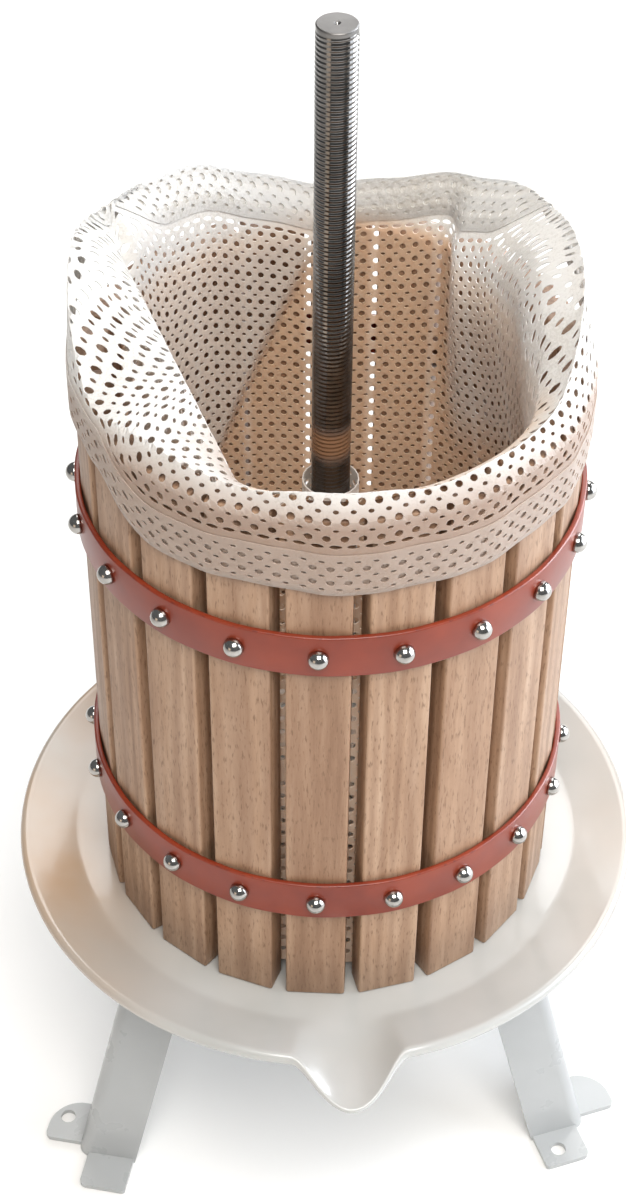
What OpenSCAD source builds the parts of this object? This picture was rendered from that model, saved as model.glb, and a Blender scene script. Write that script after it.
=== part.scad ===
// Fruit press: an enamelled tray on three folded legs carries a fixed screw spindle, a slatted
// wooden basket held by two hoops, and a net pressing bag that hangs inside the basket.
// Millimetres, +Z up, origin on the ground under the spindle, front towards -Y.

/* [Tray] */
// Height of the tray's floor above the ground
floor_z = 190; // [140:1:240]
// Outer radius of the tray over its rolled edge
tray_r = 177; // [165:1:195]
// Sheet thickness of the tray
tray_t = 2; // [1.5:0.1:3]
// Radius of the flat floor, where the brim starts to rise
flat_r = 141; // [135:1:150]
// Slope of the brim
brim_angle = 17; // [12:1:24]
// Radius of the bend between the floor and the brim
bend_r = 14; // [6:1:24]
// Radius of the rolled edge
bead_r = 3.5; // [2.5:0.1:4.5]
// Direction of the pouring lip, from the front towards the right
lip_turn = 5.5; // [-10:0.5:10]
// How far the lip reaches past the rolled edge
lip_reach = 26; // [15:1:35]
// Half width of the lip's groove at its start on the floor
lip_root_half = 51; // [40:1:60]
// Half width of the lip at its nose
lip_nose_half = 17; // [12:0.5:20]
// How far the nose's edges lie below the brim's top
lip_drop = 6; // [2:0.5:8]
// How far the groove falls from the floor to the nose
lip_fall = 4; // [2:0.5:6]
// How far the nose is rounded back at its edges
lip_round = 14; // [8:1:16]

/* [Legs] */
// Radius from the axis to a leg's fold at the ground
leg_foot_r = 180; // [160:1:220]
// Radius from the axis to a leg's fold under the tray
leg_top_r = 127; // [115:1:135]
// Width of each face of a leg
leg_w = 35; // [32:1:42]
// Sheet thickness of the legs
leg_t = 3; // [2:0.5:4]
// Outside radius of a leg's fold
leg_fold_r = 8; // [5:0.5:12]
// How far a foot ear reaches out from its leg face
ear_depth = 22; // [18:1:30]
// Gap from the fold to where an ear starts
ear_notch = 7; // [4:0.5:9]
// Corner radius of the round ear
ear_round_r = 19; // [8:1:20]
// Small corner radius of the ears
ear_corner_r = 4; // [1:0.5:6]
// Distance of the foot hole from the fold, along its ear
foot_hole_s = 23.6; // [20:0.1:26]
// Distance of the foot hole from the leg face
foot_hole_n = 11.8; // [9:0.1:13]
// Radius of the foot holes
foot_hole_r = 4.5; // [3:0.1:5]
// Half width of the mounting plate in a leg's top
leg_plate_half = 21; // [18:0.5:22]
// Radius from the axis to the inner end of a leg's mounting plate
leg_plate_in_r = 70; // [60:1:76]

/* [Fasteners] */
// Thickness of the round backing plate under the tray
backing_t = 5; // [3:0.5:8]
// Radius of the backing plate
backing_r = 128; // [128:1:134]
// Radius from the axis to the inner bolt of a leg
leg_bolt_in_r = 84; // [80:1:88]
// Spacing of a leg's two bolts
leg_bolt_step = 19; // [17:0.5:21]
// Thread radius of the leg bolts
leg_bolt_r = 4; // [3:0.5:4]
// Radius of a leg bolt's countersunk head
leg_bolt_head_r = 7.6; // [6:0.1:8]
// Width across the flats of a leg nut
leg_nut_flats = 13; // [10:0.5:14]
// Height of a leg nut
leg_nut_h = 6.5; // [5:0.5:8]
// Length of thread that shows past a nut
thread_past = 3; // [1:0.5:6]
// Radial clearance of bolts and spindle in their holes
hole_gap = 0.25; // [0.1:0.05:0.4]
// Radial clearance of a nut on its thread
nut_gap = 0.05; // [0.02:0.01:0.1]

/* [Spindle] */
// Thread radius of the spindle
spindle_r = 10; // [8.5:0.5:10.5]
// Height of the spindle's top above the tray's floor
spindle_h = 521; // [440:1:600]
// Chamfer at the spindle's top
spindle_chamfer = 2; // [1:0.5:3]
// Radius of the centre mark in the spindle's top
centre_mark_r = 2.2; // [1:0.1:3]
// Radius of the spindle's turned-down tail
tail_r = 8; // [6:0.5:8]
// Thickness of the spindle's washers
washer_t = 3; // [2:0.5:5]
// Radius of the upper washer
upper_washer_r = 22; // [18:1:23]
// Radius of the lower washer
lower_washer_r = 17; // [16:1:24]
// Width across the flats of the spindle nut
spindle_nut_flats = 24; // [22:0.5:30]
// Height of the spindle nut
spindle_nut_h = 13; // [10:0.5:18]

/* [Basket] */
// Number of staves
stave_count = 20; // [16:1:24]
// Height of the staves' tops above the tray's floor
stave_h = 342; // [280:1:400]
// Thickness of the staves
stave_t = 15; // [12:0.5:18]
// Gap between staves at their outer faces
stave_gap_out = 8; // [6:0.5:10]
// Gap between staves at their inner faces
stave_gap_in = 3.2; // [2:0.1:5]
// Chamfer along the staves' long edges
stave_ease = 1; // [0.5:0.1:2]
// Turn of the basket about its axis
basket_turn = -1.3; // [-9:0.1:9]
// Clearance between the staves' lower ends and the tray
basket_gap = 0.3; // [0.1:0.1:0.5]
// Outer radius of the hoops
hoop_r = 130; // [125:1:134]
// Thickness of the hoops
hoop_t = 3; // [2:0.1:4]
// Height of the hoops
hoop_h = 25; // [20:1:30]
// Distance of each hoop's middle from the nearer stave end
hoop_inset = 82; // [70:1:100]
// Radial clearance between a stave's corners and a hoop
hoop_gap = 0.15; // [0.1:0.05:0.3]
// Radius of the hoop screws' round heads
screw_head_r = 5.2; // [4:0.1:6]
// Height of the round heads
screw_head_h = 6; // [4:0.1:6]
// Height of the straight rim of a round head
screw_head_rim = 1.4; // [0.5:0.1:2]
// Shank radius of the hoop screws
screw_r = 2.4; // [2:0.1:3]
// Depth that the screws reach into a stave
screw_depth = 11; // [6:0.5:11]

/* [Bag] */
// Thickness of the bag's net
bag_t = 1.5; // [1:0.1:2]
// Clearance between the bag and what it lies against
bag_gap = 0.4; // [0.3:0.1:1]
// Clearance between the bag's flap and the staves' corners
flap_gap = 1; // [0.5:0.1:2]
// Height of the bag's fold above the staves at the sides
bag_stand = 55; // [45:0.5:65]
// Height of the bag's fold above the staves at the front
front_rise = 8; // [8:0.5:20]
// Height of the bag's edge above the staves at the back
rear_rise = 24; // [20:0.5:35]
// How far the flap hangs below the staves' top
flap_hang = 45; // [40:1:50]
// How much less of the flap hangs down at the left
flap_short = 22; // [0:1:25]
// Width of the doubled hem along the bag's edge
hem_h = 25; // [15:1:30]
// How far the slack net hangs inwards at the left
drape_left = 34; // [0:1:45]
// How far the slack net hangs inwards at the right
drape_right = 18; // [0:1:40]
// Depth below the fold where the slack net hangs furthest in
drape_depth = 40; // [30:1:60]
// Height over which the slack net runs back to the wall below that
drape_tail = 160; // [120:1:180]
// Rounding between the bag's wall and its floor
bag_corner = 6; // [4:0.5:10]
// Inner radius of the bag's sleeve round the spindle
sleeve_r = 12.5; // [12:0.5:15]
// How much wider the sleeve is at its open top
sleeve_flare = 1; // [0:0.1:2]
// Height of the sleeve's top above the tray's floor
sleeve_h = 262; // [200:1:300]

/* [Hidden] */
$fn = 96;
eps = 0.01;

// Tray section: the brim runs from the bend to the middle of the rolled edge
rim_r = tray_r - bead_r;
bend_run = bend_r*sin(brim_angle);
bend_rise = bend_r*(1 - cos(brim_angle));
rim_rise = bend_rise + (rim_r - flat_r - bend_run)*tan(brim_angle);
bend_steps = 5;

// Lip grid and the depth by which its pieces run into the tray's sheet
lip_start = 6;
lip_root_r = flat_r + lip_start;
lip_nose_r = tray_r + lip_reach;
lip_along = 10;
lip_across = 14;
lip_bite = 0.5;
lip_air_h = 40;
lip_root_rise = 0.8;
lip_extra = 0.2;
lip_t = tray_t + lip_extra;

// Stack under the tray's floor
backing_z = floor_z - tray_t - backing_t;
leg_plate_z = backing_z - leg_t;
leg_nut_z = leg_plate_z - leg_nut_h;
leg_bolt_end_z = leg_nut_z - thread_past;
lower_washer_z = backing_z - washer_t;
spindle_nut_z = lower_washer_z - spindle_nut_h;
spindle_end_z = spindle_nut_z - thread_past;
shoulder_z = floor_z + washer_t;
spindle_top_z = floor_z + spindle_h;
leg_head_h = leg_bolt_head_r - leg_bolt_r;

// Legs stand evenly round the axis, two of them at the front on both sides of the lip
leg_tilt = atan((leg_foot_r - leg_top_r)/backing_z);
left_leg_turn = lip_turn - 60;
right_leg_turn = lip_turn + 60;
rear_leg_turn = lip_turn + 180;
leg_bolt_radii = [leg_bolt_in_r, leg_bolt_in_r + leg_bolt_step];
// A leg's plate ends inside the sheet of both faces, where they meet it at 45 degrees
leg_plate_tip = leg_top_r - leg_t/sqrt(2);
leg_plate_blunt = leg_top_r - leg_fold_r;

// Staves fill the hoops: their outer corners lie just inside the hoop
stave_half_turn = 180/stave_count;
stave_corner_r = hoop_r - hoop_t - hoop_gap;
stave_half_out = stave_corner_r*sin(stave_half_turn - asin(stave_gap_out/(2*stave_corner_r)));
stave_face_r = sqrt(pow(stave_corner_r, 2) - pow(stave_half_out, 2));
stave_inner_r = stave_face_r - stave_t;
stave_half_in = (stave_inner_r*sin(stave_half_turn) - stave_gap_in/2)/cos(stave_half_turn);
stave_top_z = floor_z + stave_h;
lower_hoop_z = floor_z + hoop_inset;
upper_hoop_z = stave_top_z - hoop_inset;
dome_h = screw_head_h - screw_head_rim;
dome_r = (pow(screw_head_r, 2) + pow(dome_h, 2))/(2*dome_h);
screw_hole_gap = 0.1;

// Bag sheet: middle radii of the outer flap and of the liner inside the staves
bag_turns = 72;
flap_r = stave_corner_r + flap_gap + bag_t/2;
liner_r = stave_inner_r - bag_gap - bag_t/2;
crest_r = (flap_r - liner_r)/2;
crest_quarter = crest_r*PI/2;
bag_floor_z = floor_z + bag_gap + bag_t/2;
washer_clear = bag_gap + bag_t;
sleeve_foot_r = upper_washer_r + washer_clear;
sleeve_neck_z = shoulder_z + washer_clear;
sleeve_cone_z = sleeve_neck_z + sleeve_foot_r - sleeve_r;
sleeve_mid_r = sleeve_r + bag_t/2;

// Directions, in degrees, between which the bag's fold dips at the front, its net hangs slack at each side,
// its flap gets shorter at the left and its hem rises at each side, and the middle and span of its rear dip
front_dip = [-80, -28, 58, 98];
left_slack = [-110, -74, -56, -20];
right_slack = [45, 95, 134, 152];
left_short = [40, 60];
left_lift = [84, 128];
right_lift = [84, 130];
rear_dip = [180, 60];

// Rows of points along the bag's line, and where its mouth, wall, floor and sleeve start in it
hem_rows = 5;
flap_rows = 5;
crest_rows = 4;
hang_rows = 8;
mouth_start = hem_rows + flap_rows;
wall_start = mouth_start + crest_rows + hang_rows;
floor_start = wall_start + 1;
sleeve_start = floor_start + 3;
sleeve_end = sleeve_start + 2;
// Shortest stretch of net that is left between two of these places
net_step = hem_h/3;

function stave_name(i) = str("stave_", i < 10 ? "0" : "", i);

// Points of an arc in the plane, from angle a0 to angle a1
function arc(centre, r, a0, a1, steps) =
    [for (i = [0 : steps]) let (a = a0 + (a1 - a0)*i/steps) centre + r*[cos(a), sin(a)]];

// The upper line of the tray's section, lifted by a rise, from the axis to the rolled edge
function tray_line(from_r, lift) = concat(
    [[from_r, lift]],
    arc([flat_r, bend_r + lift], bend_r, -90, -90 + brim_angle, bend_steps),
    [[rim_r, rim_rise + lift]]);

function reversed(list) = [for (i = [len(list) - 1 : -1 : 0]) list[i]];

// Lip surface: a runs from the floor to the nose, t from its left edge to its right edge
function lip_point(a, t, lift) =
    let (half = lip_root_half + (lip_nose_half - lip_root_half)*a,
         reach = lip_nose_r - lip_round*t*t - lip_root_r,
         low = lip_root_rise - lip_fall*a,
         edge = rim_rise - lip_drop*a)
    [half*t, -(lip_root_r + reach*a), floor_z + low + (edge - low)*t*t + lift];

// A slab over the lip's grid, closed between two lists of points in the same order
module lip_slab(low, high) {
    columns = lip_across + 1;
    count = columns*(lip_along + 1);
    border = concat(
        [for (j = [0 : lip_across]) j],
        [for (i = [1 : lip_along]) i*columns + lip_across],
        [for (j = [lip_across - 1 : -1 : 0]) lip_along*columns + j],
        [for (i = [lip_along - 1 : -1 : 1]) i*columns]);
    cells = [for (i = [0 : lip_along - 1], j = [0 : lip_across - 1]) i*columns + j];
    polyhedron(concat(low, high), concat(
        [for (c = cells) [c, c + 1, c + columns]],
        [for (c = cells) [c + 1, c + columns + 1, c + columns]],
        [for (c = cells) [c + count, c + columns + count, c + 1 + count]],
        [for (c = cells) [c + 1 + count, c + columns + count, c + columns + 1 + count]],
        [for (k = [0 : len(border) - 1]) let (p = border[k], q = border[(k + 1) % len(border)])
            [p, p + count, q]],
        [for (k = [0 : len(border) - 1]) let (p = border[k], q = border[(k + 1) % len(border)])
            [q, p + count, q + count]]));
}

function lip_grid(lift) = [for (i = [0 : lip_along], j = [0 : lip_across])
    lip_point(i/lip_along, 2*j/lip_across - 1, lift)];

function flat_grid(z) = [for (p = lip_grid(0)) [p[0], p[1], z]];

// Pouring lip: a pressed groove that narrows to a rounded nose
module lip() {
    rotate(lip_turn) difference() {
        lip_slab(lip_grid(-lip_t), lip_grid(0));
        translate([0, 0, floor_z]) rotate_extrude()
            polygon(concat(tray_line(0, lip_bite/2), [[rim_r, lip_air_h], [0, lip_air_h]]));
    }
}

// The opening that the lip's groove leaves in the brim and the rolled edge
module lip_air() {
    rotate(lip_turn) lip_slab(lip_grid(-lip_bite), flat_grid(floor_z + lip_air_h));
}

// Places its children at both bolts of every leg
module at_leg_bolts() {
    for (turn = [left_leg_turn, right_leg_turn, rear_leg_turn], r = leg_bolt_radii)
        rotate(turn) translate([0, -r, 0]) children();
}

// Countersunk bolt body from its head down, grown by a clearance
module leg_bolt_body(gap, end_z) {
    translate([0, 0, floor_z - leg_head_h])
        cylinder(r1 = leg_bolt_r + gap, r2 = leg_bolt_head_r + gap, h = leg_head_h);
    translate([0, 0, end_z]) cylinder(r = leg_bolt_r + gap, h = floor_z - leg_head_h - end_z + eps);
}

module tray() {
    color("ivory") difference() {
        union() {
            difference() {
                translate([0, 0, floor_z]) rotate_extrude() {
                    polygon(concat(tray_line(tail_r + hole_gap, 0),
                        reversed(tray_line(tail_r + hole_gap, -tray_t))));
                    translate([rim_r, rim_rise - bead_r]) circle(bead_r);
                }
                lip_air();
            }
            lip();
        }
        at_leg_bolts() leg_bolt_body(hole_gap, leg_bolt_end_z);
    }
}

module backing_plate() {
    color("gainsboro") difference() {
        translate([0, 0, backing_z]) cylinder(r = backing_r, h = backing_t);
        translate([0, 0, backing_z - 1]) cylinder(r = tail_r + hole_gap, h = backing_t + 2);
        at_leg_bolts() leg_bolt_body(hole_gap, leg_bolt_end_z);
    }
}

// Section of a folded angle, its fold at the origin and its faces along +X and +Y
module angle_section() {
    translate([leg_fold_r, 0]) square([leg_w - leg_fold_r, leg_t]);
    translate([0, leg_fold_r]) square([leg_t, leg_w - leg_fold_r]);
    intersection() {
        square(leg_fold_r);
        difference() {
            translate([leg_fold_r, leg_fold_r]) circle(leg_fold_r);
            translate([leg_fold_r, leg_fold_r]) circle(leg_fold_r - leg_t);
        }
    }
}

// Outline of a foot ear: X runs along the leg face from the fold, -Y points away from the leg
module ear_outline(free_corner_r) {
    polygon(concat(
        arc([ear_notch + ear_corner_r, ear_corner_r - ear_depth], ear_corner_r, 180, 270, 6),
        arc([leg_w - free_corner_r, free_corner_r - ear_depth], free_corner_r, 270, 360, 10),
        [[leg_w, leg_t], [ear_notch, leg_t]]));
}

// One leg, with its fold towards -Y, then turned to its place; left and right are seen from outside
module leg(turn, left_corner_r, right_corner_r) {
    color("whitesmoke") rotate(turn - 90) difference() {
        union() {
            intersection() {
                translate([leg_foot_r, 0, 0]) rotate([0, -leg_tilt, 0]) translate([0, 0, -leg_foot_r])
                    rotate(135) linear_extrude(leg_foot_r + 2*backing_z) angle_section();
                translate([0, -leg_foot_r, 0]) cube([2*leg_foot_r, 2*leg_foot_r, backing_z]);
            }
            translate([leg_foot_r, 0, 0]) {
                rotate(135) linear_extrude(leg_t) ear_outline(right_corner_r);
                mirror([0, 1, 0]) rotate(135) linear_extrude(leg_t) ear_outline(left_corner_r);
            }
            translate([0, 0, leg_plate_z]) linear_extrude(leg_t) polygon([
                [leg_plate_blunt, leg_plate_tip - leg_plate_blunt],
                [leg_plate_tip - leg_plate_half, leg_plate_half],
                [leg_plate_in_r, leg_plate_half],
                [leg_plate_in_r, -leg_plate_half],
                [leg_plate_tip - leg_plate_half, -leg_plate_half],
                [leg_plate_blunt, leg_plate_blunt - leg_plate_tip]]);
        }
        translate([leg_foot_r, 0, -1]) mirror([0, 1, 0]) rotate(135)
            translate([foot_hole_s, -foot_hole_n, 0]) cylinder(r = foot_hole_r, h = leg_t + 2);
        for (r = leg_bolt_radii)
            translate([r, 0, leg_plate_z - 1]) cylinder(r = leg_bolt_r + hole_gap, h = leg_t + 2);
    }
}

module leg_left() { leg(left_leg_turn, ear_round_r, ear_corner_r/2); }

module leg_right() { leg(right_leg_turn, ear_corner_r/2, ear_round_r); }

module leg_rear() { leg(rear_leg_turn, ear_round_r, ear_corner_r/2); }

module leg_bolts() {
    color("silver") at_leg_bolts() leg_bolt_body(0, leg_bolt_end_z);
}

// Hexagon nut with its lower face at z
module hex_nut(flats, h, bore_r, z) {
    translate([0, 0, z]) difference() {
        cylinder(d = flats/cos(30), h = h, $fn = 6);
        translate([0, 0, -1]) cylinder(r = bore_r, h = h + 2);
    }
}

module leg_nuts() {
    color("silver") at_leg_bolts() hex_nut(leg_nut_flats, leg_nut_h, leg_bolt_r + nut_gap, leg_nut_z);
}

module spindle() {
    straight = spindle_top_z - spindle_chamfer - shoulder_z;
    color("slategray") difference() {
        union() {
            translate([0, 0, spindle_end_z]) cylinder(r = tail_r, h = shoulder_z - spindle_end_z + eps);
            translate([0, 0, shoulder_z]) cylinder(r = spindle_r, h = straight);
            translate([0, 0, spindle_top_z - spindle_chamfer])
                cylinder(r1 = spindle_r, r2 = spindle_r - spindle_chamfer, h = spindle_chamfer);
        }
        translate([0, 0, spindle_top_z - centre_mark_r])
            cylinder(r1 = 0, r2 = centre_mark_r + eps, h = centre_mark_r + eps);
    }
}

module washer(r, z) {
    color("silver") translate([0, 0, z]) difference() {
        cylinder(r = r, h = washer_t);
        translate([0, 0, -1]) cylinder(r = tail_r + hole_gap, h = washer_t + 2);
    }
}

module upper_washer() { washer(upper_washer_r, floor_z); }

module lower_washer() { washer(lower_washer_r, lower_washer_z); }

module spindle_nut() {
    color("silver") hex_nut(spindle_nut_flats, spindle_nut_h, tail_r + nut_gap, spindle_nut_z);
}

// Places its children on a stave's middle line, facing -Y, at a height
module at_stave(i, z) {
    rotate(basket_turn + 2*stave_half_turn*(i - 1)) translate([0, 0, z]) children();
}

// Screw hole or shank, from the hoop's outer face inwards
module screw_shank(r) {
    translate([0, -hoop_r, 0]) rotate([-90, 0, 0]) cylinder(r = r, h = hoop_r - stave_face_r + screw_depth);
}

module stave(i) {
    ease = stave_ease;
    color("burlywood") difference() {
        at_stave(i, floor_z + basket_gap) linear_extrude(stave_h - basket_gap) polygon([
            [-stave_half_out + ease, -stave_face_r], [stave_half_out - ease, -stave_face_r],
            [stave_half_out, -stave_face_r + ease], [stave_half_in, -stave_inner_r - ease],
            [stave_half_in - ease, -stave_inner_r], [-stave_half_in + ease, -stave_inner_r],
            [-stave_half_in, -stave_inner_r - ease], [-stave_half_out, -stave_face_r + ease]]);
        for (z = [lower_hoop_z, upper_hoop_z]) at_stave(i, z) screw_shank(screw_r + nut_gap);
    }
}

module hoop(z) {
    color("firebrick") difference() {
        translate([0, 0, z - hoop_h/2]) cylinder(r = hoop_r, h = hoop_h, $fn = 180);
        translate([0, 0, z - hoop_h/2 - 1]) cylinder(r = hoop_r - hoop_t, h = hoop_h + 2, $fn = 180);
        for (i = [1 : stave_count]) at_stave(i, z) translate([0, -1, 0]) screw_shank(screw_r + screw_hole_gap);
    }
}

module lower_hoop() { hoop(lower_hoop_z); }

module upper_hoop() { hoop(upper_hoop_z); }

module hoop_screws(z) {
    color("lightgray") for (i = [1 : stave_count]) at_stave(i, z) {
        screw_shank(screw_r);
        translate([0, -hoop_r, 0]) rotate([90, 0, 0]) intersection() {
            cylinder(r = screw_head_r, h = screw_head_h);
            translate([0, 0, screw_head_h - dome_r]) sphere(dome_r);
        }
    }
}

module lower_hoop_screws() { hoop_screws(lower_hoop_z); }

module upper_hoop_screws() { hoop_screws(upper_hoop_z); }

// A smooth hump of height 1 over a span of directions, and a smooth step from 0 to 1
function bump(turn, place) =
    let (off = abs((turn - place[0] + 540) % 360 - 180))
    off < place[1] ? pow(cos(90*off/place[1]), 2) : 0;
function smooth(t) = let (u = max(0, min(1, t))) u*u*(3 - 2*u);
function step_over(x, span) = smooth((x - span[0])/(span[1] - span[0]));
function plateau(x, span) = step_over(x, span)*step_over(x, [span[3], span[2]]);

// Bag, by direction from the front: height of its fold above the staves, how far its net hangs inwards,
// how far its flap hangs down, and how far its edge is drawn up (1 where the hem stands free)
function fold_rise(turn) = bag_stand - (bag_stand - front_rise)*plateau(turn, front_dip)
    - (bag_stand - rear_rise)*bump(turn, rear_dip);
function drape(turn) = drape_right*plateau(turn, right_slack) + drape_left*plateau(turn, left_slack);
function hang(turn) = flap_hang - flap_short*step_over(-turn, left_short);
function hem_lift(turn) = step_over(abs(turn), turn < 0 ? left_lift : right_lift);

// Run of the net from its edge up to the crest, where it goes over the rim in a half circle
function flap_run(turn) = (1 - hem_lift(turn))*(fold_rise(turn) + hang(turn) + crest_quarter - crest_r);

// Share of the inward hang at a depth below the crest: it grows to all of it, and then runs out again
function hang_share(depth) = depth < drape_depth
    ? sin(90*depth/drape_depth) : 1 - smooth((depth - drape_depth)/drape_tail);

// Point [r, z] of the net's middle line at a run from its edge
function net_point(turn, run) =
    let (past = run - flap_run(turn), angle = 90*max(-1, min(1, past/crest_quarter)),
         depth = crest_r*(1 - cos(angle)) + max(abs(past) - crest_quarter, 0),
         in = past > 0 ? drape(turn)*hang_share(depth) : 0)
    [liner_r + crest_r*(1 - sin(angle)) - in, stave_top_z + fold_rise(turn) - depth];

// Middle line of the net in one direction, from the hem's edge to the sleeve's top
function bag_line(turn) =
    let (down_run = flap_run(turn) + crest_quarter,
         fold_run = max(hem_h + net_step, flap_run(turn)),
         rim_run = max(fold_run, down_run) + net_step,
         tail_run = down_run - crest_r + drape_depth + drape_tail)
    concat(
        [for (k = [0 : hem_rows]) net_point(turn, hem_h*k/hem_rows)],
        [for (k = [1 : flap_rows]) net_point(turn, hem_h + (fold_run - hem_h)*k/flap_rows)],
        [for (k = [1 : crest_rows]) net_point(turn, fold_run + (rim_run - fold_run)*k/crest_rows)],
        [for (k = [1 : hang_rows]) net_point(turn, rim_run + (tail_run - rim_run)*k/hang_rows)],
        [[liner_r, bag_floor_z + bag_corner],
         [liner_r - bag_corner, bag_floor_z],
         [sleeve_foot_r + bag_t/2, bag_floor_z],
         [sleeve_foot_r, sleeve_neck_z],
         [sleeve_mid_r, sleeve_cone_z],
         [sleeve_mid_r + sleeve_flare, floor_z + sleeve_h]]);

// Both faces of the net: the middle line moved by half the thickness to each side
function bag_face(line, side) = [for (i = [0 : len(line) - 1])
    let (step = line[min(i + 1, len(line) - 1)] - line[max(i - 1, 0)])
    line[i] + side*bag_t/2*[step[1], -step[0]]/norm(step)];

function part_of(list, first, last) = [for (i = [first : last]) list[i]];

// A stretch of the bag's net, closed round the axis. The end face that closes each ring is cut into
// triangles the other way from the rest, so that it is the same as the last end face of the stretch before.
module bag_stretch(first, last) {
    rings = [for (k = [0 : bag_turns - 1]) let (turn = 360*k/bag_turns - 180, line = bag_line(turn))
        [for (p = concat(part_of(bag_face(line, 1), first, last),
                         reversed(part_of(bag_face(line, -1), first, last))))
            [p[0]*sin(turn), -p[0]*cos(turn), p[1]]]];
    n = len(rings[0]);
    polyhedron([for (ring = rings, p = ring) p], [for (k = [0 : bag_turns - 1], j = [0 : n - 1])
        let (here = k*n, beside = ((k + 1) % bag_turns)*n, next = (j + 1) % n,
             a = here + j, b = here + next, c = beside + j, d = beside + next)
        each next > 0 ? [[a, c, b], [b, c, d]] : [[a, c, d], [a, d, b]]]);
}

module bag_hem() { color("snow") bag_stretch(0, hem_rows); }

module bag_flap() { color("white") bag_stretch(hem_rows, mouth_start); }

module bag_mouth() { color("white") bag_stretch(mouth_start, wall_start); }

module bag_wall() { color("white") bag_stretch(wall_start, floor_start); }

module bag_floor() { color("white") bag_stretch(floor_start, sleeve_start); }

module bag_sleeve() { color("snow") bag_stretch(sleeve_start, sleeve_end); }

tray();
backing_plate();
leg_left();
leg_right();
leg_rear();
leg_bolts();
leg_nuts();
spindle();
upper_washer();
lower_washer();
spindle_nut();
for (i = [1 : stave_count]) stave(i);
lower_hoop();
upper_hoop();
lower_hoop_screws();
upper_hoop_screws();
bag_hem();
bag_flap();
bag_mouth();
bag_wall();
bag_floor();
bag_sleeve();
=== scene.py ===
"""The looks of a basket fruit press: enamelled tray and legs, beech basket, steel spindle and net bag."""
import math

import bpy
import numpy as np
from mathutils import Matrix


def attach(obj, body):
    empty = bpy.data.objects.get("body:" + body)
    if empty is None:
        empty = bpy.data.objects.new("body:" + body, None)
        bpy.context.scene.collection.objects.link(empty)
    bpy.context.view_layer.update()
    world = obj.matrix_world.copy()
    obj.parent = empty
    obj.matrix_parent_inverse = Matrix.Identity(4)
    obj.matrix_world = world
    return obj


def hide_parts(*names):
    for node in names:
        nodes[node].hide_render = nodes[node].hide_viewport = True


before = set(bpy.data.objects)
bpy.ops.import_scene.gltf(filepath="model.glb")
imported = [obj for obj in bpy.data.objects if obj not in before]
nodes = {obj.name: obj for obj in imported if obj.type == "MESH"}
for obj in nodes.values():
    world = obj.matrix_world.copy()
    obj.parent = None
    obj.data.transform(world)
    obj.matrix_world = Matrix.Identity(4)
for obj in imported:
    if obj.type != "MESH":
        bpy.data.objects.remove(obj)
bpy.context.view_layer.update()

# Tray: a round dish pressed from sheet steel, with a flared brim, a rolled edge and a pouring lip. It is
# stove-enamelled in white. A painted warm shade lies on it, most at the left: the basket's shadow, lit by
# light bounced off the wood. It lies on the backing plate and carries the basket.
MM = 0.001
FLOOR_Z = 190.0
FLAT_R = 141.0
RIM_R = 173.5
BEAD_R = 3.5
BRIM_SLOPE = math.radians(17)
BEND_R = 14.0
TRAY_T = 2.0
TRAY_HOLE_R = 8.25
LIP_TURN = 5.5
LIP_HALF_TURN = 10.5
LIP_REACH = 23.5
LIP_DROP = 12.3
LIP_BEAD_R = 1.6
# the sheet stays a hair under the bolt heads and over the backing plate
TRAY_SINK = 0.15
# radii of the floor's rings, from the spindle's hole to the bend
FLOOR_RINGS = (TRAY_HOLE_R, 40, 75, 105, 120, 130, 136)
# directions in which the roll of the edge starts and ends, in degrees
ROLL_FROM = 75
ROLL_TO = -200
# share of the brim at which its underside meets the roll
UNDER_FROM = 0.86
# painted warm shade: the colour of the basket's shadow on the tray, lit by light bounced off the wood
PAINTED_WARM_SHADE = "#a87c46"


def grid_faces(rows, columns, round_rows=False):
    """Quads of a grid of rows by columns, numbered row by row. Columns close round, rows where asked."""
    row = np.arange(rows if round_rows else rows - 1)[:, None]
    column = np.arange(columns)[None, :]
    next_row = (row + 1) % rows
    next_column = (column + 1) % columns
    corners = [row*columns + column, row*columns + next_column,
               next_row*columns + next_column, next_row*columns + column]
    return np.stack([np.broadcast_to(c, corners[0].shape) for c in corners], axis=-1).reshape(-1, 4)


def round_axis(angle, radius, height):
    """Places at a radius and a height, in a direction measured from the front towards the right."""
    return np.stack([radius*np.sin(angle), -radius*np.cos(angle), height], axis=-1)


def add_piece(name, points, faces, material, crease=60):
    """A mesh object from points in millimetres and their faces, smooth up to a crease angle in degrees."""
    mesh = bpy.data.meshes.new(name)
    mesh.from_pydata((np.reshape(points, (-1, 3))*MM).tolist(), [], faces)
    mesh.shade_smooth()
    mesh.set_sharp_from_angle(angle=math.radians(crease))
    mesh.materials.append(material)
    piece = bpy.data.objects.new(name, mesh)
    bpy.context.scene.collection.objects.link(piece)
    return piece


def linear(code):
    """An sRGB hex colour as linear RGBA."""
    channels = np.array([int(code[k:k + 2], 16) for k in (1, 3, 5)])/255
    values = np.where(channels <= 0.04045, channels/12.92, ((channels + 0.055)/1.055)**2.4)
    return (*values.tolist(), 1.0)


def grey(level):
    """A share as a grey for a ramp that carries an amount and no colour."""
    return (level, level, level, 1.0)


def per_metre(size):
    """How many repeats of a pattern of this size in millimetres fit into a metre."""
    return 1000/size


def add_node(tree, kind, inputs=(), stops=(), **settings):
    """A shader node with its settings, its inputs (values or sockets to link) and its ramp's stops."""
    node = tree.nodes.new(kind)
    for key, value in settings.items():
        setattr(node, key, value)
    for key, value in dict(inputs).items():
        if isinstance(value, bpy.types.NodeSocket):
            tree.links.new(value, node.inputs[key])
        else:
            node.inputs[key].default_value = value
    for k, (place, colour) in enumerate(stops):
        ramp = node.color_ramp.elements
        stop = ramp[k] if k < 2 else ramp.new(place)
        stop.position = place
        stop.color = colour
    return node


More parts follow.
